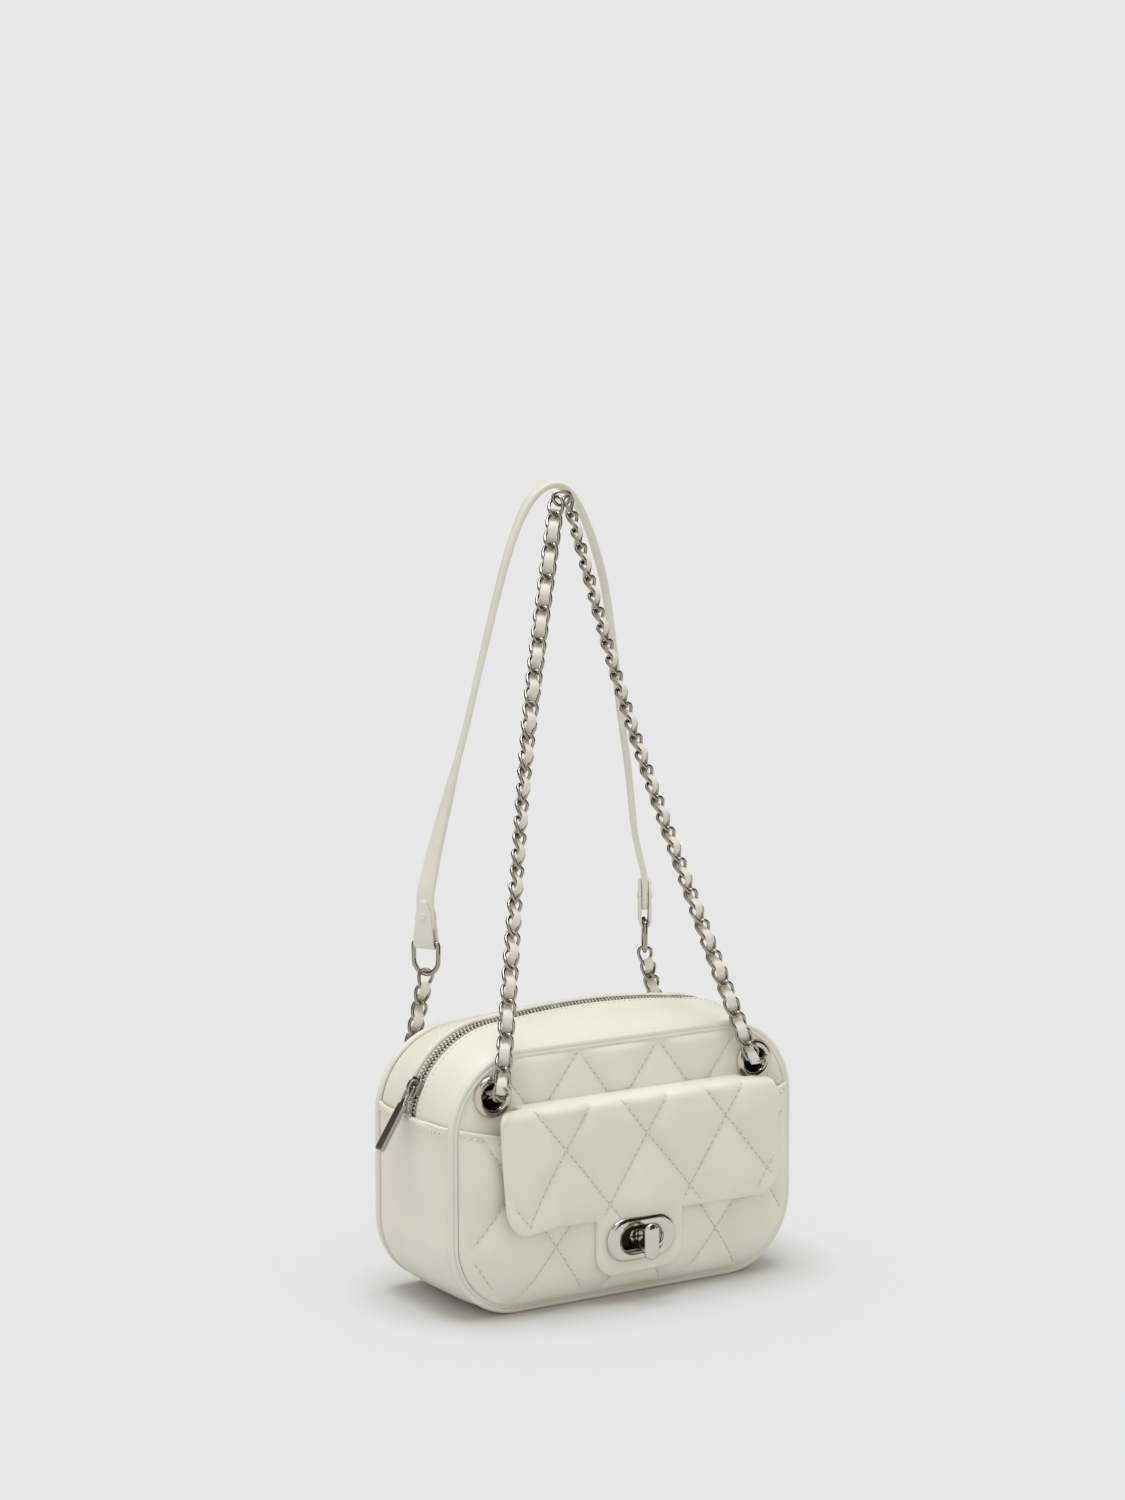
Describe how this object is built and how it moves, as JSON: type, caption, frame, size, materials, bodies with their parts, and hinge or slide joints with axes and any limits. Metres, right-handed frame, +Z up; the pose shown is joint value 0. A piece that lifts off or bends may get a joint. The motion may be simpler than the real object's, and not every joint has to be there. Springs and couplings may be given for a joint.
{
  "type": "chain shoulder bag",
  "caption": "Ivory quilted shoulder bag with a zipped top, a flap pocket with a turn lock and a chain laced with leather that carries a leather strap",
  "frame": {"origin": "centre of the bounding box on the floor under the bag, with its loops held up", "axes": "+X to the bag's right seen from the front, +Y to the back, +Z up"},
  "size_m": [0.243, 0.1216, 0.438],
  "materials": {
    "quilted_leather": "smooth ivory leather, quilted in diamonds, soft sheen",
    "smooth_leather": "smooth ivory leather, soft sheen",
    "piping_leather": "ivory leather rolled over a cord",
    "lace_leather": "ivory leather lace, matte edges",
    "lining_cloth": "plain woven lining",
    "stiff_board": "stiffening board",
    "zip_cloth": "woven zip tape",
    "zip_metal": "bright plated teeth",
    "pull_metal": "bright plated, polished",
    "lock_metal": "polished plating",
    "eyelet_metal": "polished plating",
    "chain_metal": "polished plating"
  },
  "bodies": {
    "root": {"front_panel": "quilted_leather", "back_panel": "quilted_leather", "front_pocket_panel": "quilted_leather", "flap_hinge_strip": "smooth_leather", "zip_gusset_front": "smooth_leather", "zip_gusset_back": "smooth_leather", "lower_gusset": "smooth_leather", "front_piping": "piping_leather", "back_piping": "piping_leather", "lining": "lining_cloth", "base_board": "stiff_board", "zip_tape_front": "zip_cloth", "zip_tape_back": "zip_cloth", "zip_teeth_front": "zip_metal", "zip_teeth_back": "zip_metal", "zip_end_stops": "zip_metal", "eyelet_front_left": "eyelet_metal", "eyelet_front_right": "eyelet_metal", "eyelet_back_left": "eyelet_metal", "eyelet_back_right": "eyelet_metal", "eyelet_washer_front_left": "eyelet_metal", "eyelet_washer_front_right": "eyelet_metal", "eyelet_washer_back_left": "eyelet_metal", "eyelet_washer_back_right": "eyelet_metal", "lock_base": "lock_metal", "lock_base_backing": "lock_metal", "lock_screws": "lock_metal", "inner_chain_left": "chain_metal", "inner_chain_right": "chain_metal", "inner_lace_left": "lace_leather", "inner_lace_right": "lace_leather"},
    "flap": {"pocket_flap": "quilted_leather", "lock_plate": "lock_metal", "lock_plate_backing": "lock_metal"},
    "lock_knob": {"lock_knob": "lock_metal"},
    "zip_slider": {"zip_slider": "pull_metal"},
    "zip_pull": {"zip_pull_link": "pull_metal", "zip_pull_tab": "pull_metal"},
    "front_chain": {"front_chain_links_left": "chain_metal", "front_chain_links_right": "chain_metal", "front_chain_apex_link": "chain_metal", "front_chain_lace_left": "lace_leather", "front_chain_lace_right": "lace_leather"},
    "rear_strap": {"rear_chain_left": "chain_metal", "rear_chain_right": "chain_metal", "rear_lace_left": "lace_leather", "rear_lace_right": "lace_leather", "strap_ring_left": "chain_metal", "strap_ring_right": "chain_metal", "shoulder_strap": "smooth_leather", "strap_end_left": "smooth_leather", "strap_end_right": "smooth_leather", "strap_rivet_left": "chain_metal", "strap_rivet_right": "chain_metal"}
  },
  "joints": [
    {"name": "flap_open", "type": "hinge", "parent": "root", "child": "flap", "pos_m": [0.00945, -0.04238, 0.1084], "axis": [-1, 0, 0], "range_deg": [0, 90]},
    {"name": "lock_turn", "type": "hinge", "parent": "root", "child": "lock_knob", "pos_m": [0.00945, -0.05237, 0.0353], "axis": [0, 1, 0], "range_deg": [0, 90]},
    {"name": "zip_slide", "type": "hinge", "parent": "root", "child": "zip_slider", "pos_m": [-0.04855, 0.00762, 0.098], "axis": [0, 1, 0], "range_deg": [-7, 50]},
    {"name": "zip_pull_swing", "type": "hinge", "parent": "zip_slider", "child": "zip_pull", "pos_m": [-0.09994, 0.00762, 0.12088], "axis": [0, 1, 0], "range_deg": [-10, 120]},
    {"name": "front_chain_swing", "type": "hinge", "parent": "root", "child": "front_chain", "pos_m": [0.00945, -0.04097, 0.1203], "axis": [1, 0, 0], "range_deg": [0, 90]},
    {"name": "rear_strap_swing", "type": "hinge", "parent": "root", "child": "rear_strap", "pos_m": [0.00945, 0.05622, 0.1203], "axis": [-1, 0, 0], "range_deg": [0, 100]}
  ]
}
